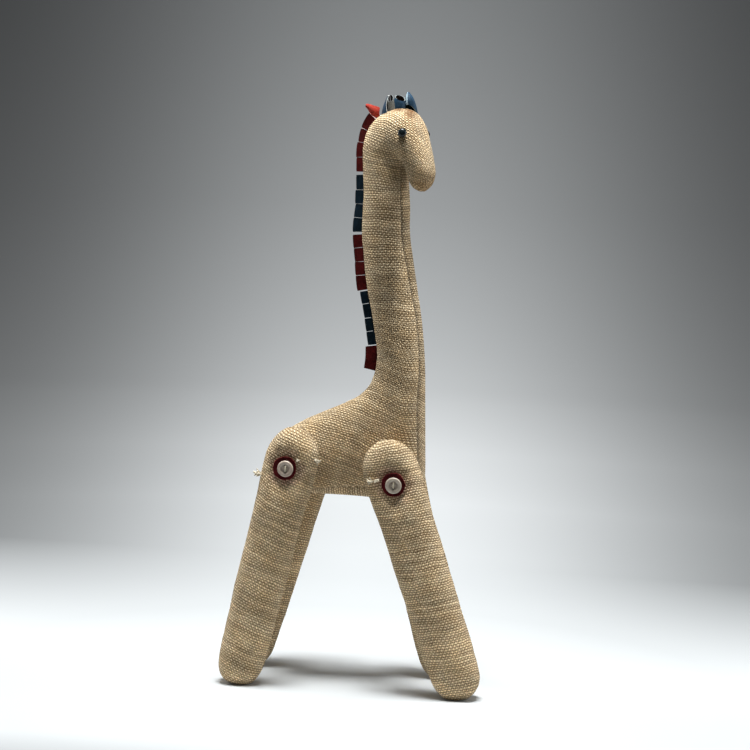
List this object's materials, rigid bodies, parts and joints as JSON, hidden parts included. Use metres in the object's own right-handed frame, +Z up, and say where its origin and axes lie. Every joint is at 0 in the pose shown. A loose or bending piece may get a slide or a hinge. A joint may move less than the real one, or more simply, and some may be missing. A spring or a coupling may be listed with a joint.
{
  "type": "stuffed toy giraffe",
  "caption": "Standing toy giraffe sewn from coarse jute cloth, with legs that turn on buttoned cord joints, a slit leather mane, leather ears and horns and bead eyes.",
  "frame": {"origin": "centre of the bounding box in plan, on the floor under the feet", "axes": "+Z up, +X the way the giraffe faces, +Y its left side"},
  "size_m": [0.3016, 0.1666, 0.6589],
  "materials": {
    "jute": "coarse undyed plain-weave jute cloth",
    "stuffing": "firm fibre stuffing, not seen",
    "twine": "doubled linen twine",
    "red_leather": "dyed dark red leather, satin",
    "blue_leather": "dyed dark blue leather, satin",
    "washer_leather": "dyed maroon leather, rough cut edge",
    "button": "grey-mauve sewing button, semi-gloss",
    "bead": "dark glossy bead"
  },
  "bodies": {
    "trunk": {"right_side_panel": "jute", "left_side_panel": "jute", "belly_gusset": "jute", "body_stuffing": "stuffing", "front_joint_cord": "twine", "hind_joint_cord": "twine", "front_right_button": "button", "front_left_button": "button", "hind_right_button": "button", "hind_left_button": "button", "mane_forelock": "red_leather", "mane_strip_1": "red_leather", "mane_strip_2": "blue_leather", "mane_strip_3": "red_leather", "mane_strip_4": "blue_leather", "mane_strip_5": "red_leather", "right_ear": "blue_leather", "left_ear": "blue_leather", "right_horn": "blue_leather", "left_horn": "blue_leather", "right_eye": "bead", "left_eye": "bead"},
    "front_right_leg": {"front_right_leg_outer_panel": "jute", "front_right_leg_inner_panel": "jute", "front_right_leg_stuffing": "stuffing", "front_right_leg_washer": "washer_leather", "front_right_leg_thread_end": "twine"},
    "front_left_leg": {"front_left_leg_outer_panel": "jute", "front_left_leg_inner_panel": "jute", "front_left_leg_stuffing": "stuffing", "front_left_leg_washer": "washer_leather", "front_left_leg_thread_end": "twine"},
    "hind_right_leg": {"hind_right_leg_outer_panel": "jute", "hind_right_leg_inner_panel": "jute", "hind_right_leg_stuffing": "stuffing", "hind_right_leg_washer": "washer_leather", "hind_right_leg_thread_end": "twine"},
    "hind_left_leg": {"hind_left_leg_outer_panel": "jute", "hind_left_leg_inner_panel": "jute", "hind_left_leg_stuffing": "stuffing", "hind_left_leg_washer": "washer_leather", "hind_left_leg_thread_end": "twine"}
  },
  "joints": [
    {"name": "front_right_leg_turn", "type": "hinge", "parent": "trunk", "child": "front_right_leg", "pos_m": [0.0471, -0.0525, 0.2345], "axis": [0, 1, 0], "range_deg": [-70, 24]},
    {"name": "front_left_leg_turn", "type": "hinge", "parent": "trunk", "child": "front_left_leg", "pos_m": [0.0364, 0.0525, 0.2345], "axis": [0, 1, 0], "range_deg": [-74, 19]},
    {"name": "hind_right_leg_turn", "type": "hinge", "parent": "trunk", "child": "hind_right_leg", "pos_m": [-0.0684, -0.0525, 0.2455], "axis": [0, 1, 0], "range_deg": [-16, 78]},
    {"name": "hind_left_leg_turn", "type": "hinge", "parent": "trunk", "child": "hind_left_leg", "pos_m": [-0.0639, 0.0525, 0.2455], "axis": [0, 1, 0], "range_deg": [-19, 74]}
  ]
}
